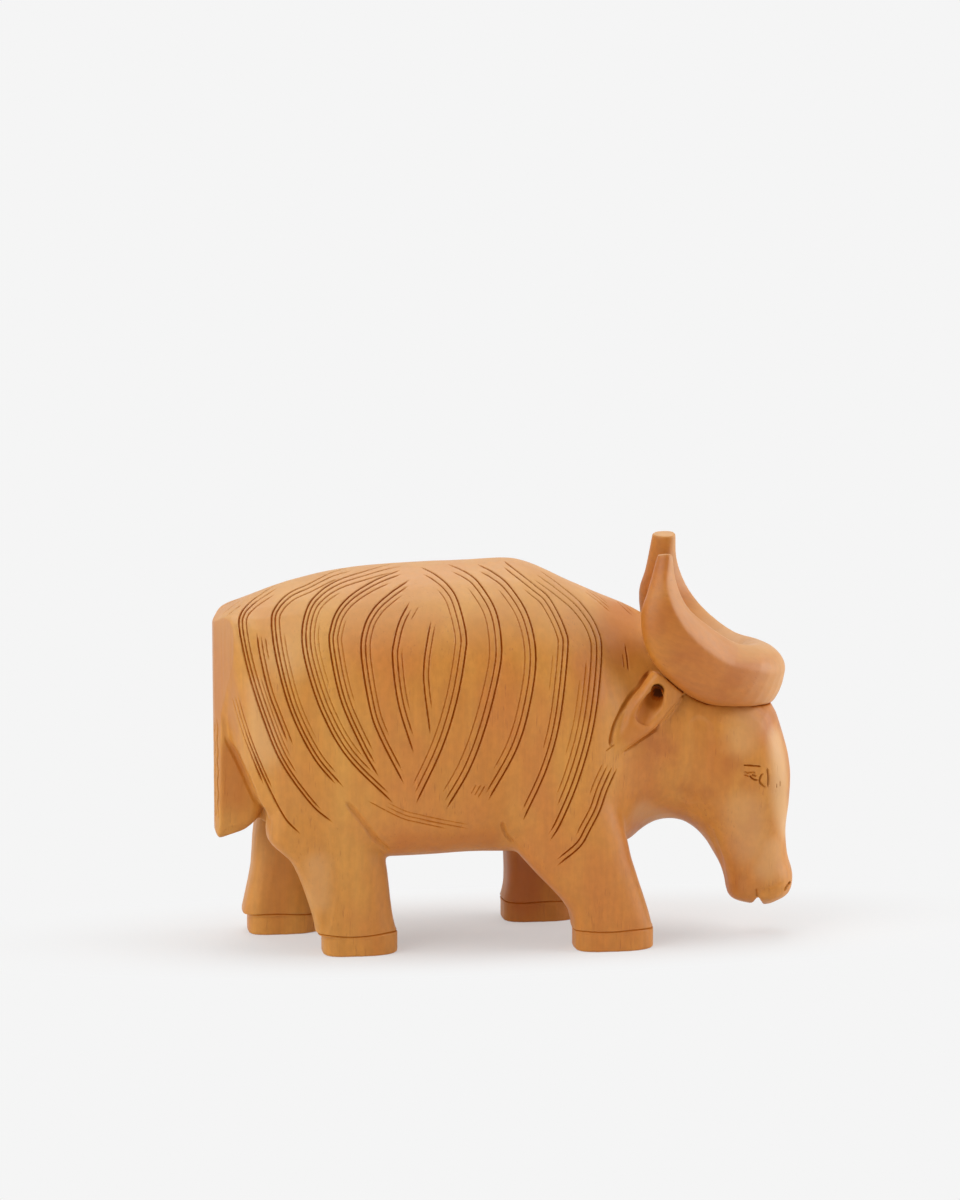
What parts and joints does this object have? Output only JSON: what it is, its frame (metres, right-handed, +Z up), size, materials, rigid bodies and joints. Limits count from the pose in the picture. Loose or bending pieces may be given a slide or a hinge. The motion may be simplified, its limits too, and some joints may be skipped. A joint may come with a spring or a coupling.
{
  "type": "carved bull statue",
  "caption": "Carved wooden bull standing with lowered, slightly turned head, grooved hair lines, fin-like tail and a separate crescent of horns pegged on top of the head.",
  "frame": {"origin": "on the ground, under the middle of the whole object's box", "axes": "+X from the rump towards the head, +Y to the bull's left, +Z up from the hoof soles"},
  "size_m": [0.2318, 0.0882, 0.1604],
  "materials": {
    "body_wood": "honey-coloured wood, sanded, darker in the cut grooves, satin wax",
    "horn_wood": "honey-coloured wood, sanded smooth, satin wax",
    "peg_wood": "plain unfinished dowel"
  },
  "bodies": {
    "root": {"carved_body": "body_wood", "horn_crescent": "horn_wood", "horn_peg_right": "peg_wood", "horn_peg_left": "peg_wood"}
  },
  "joints": []
}
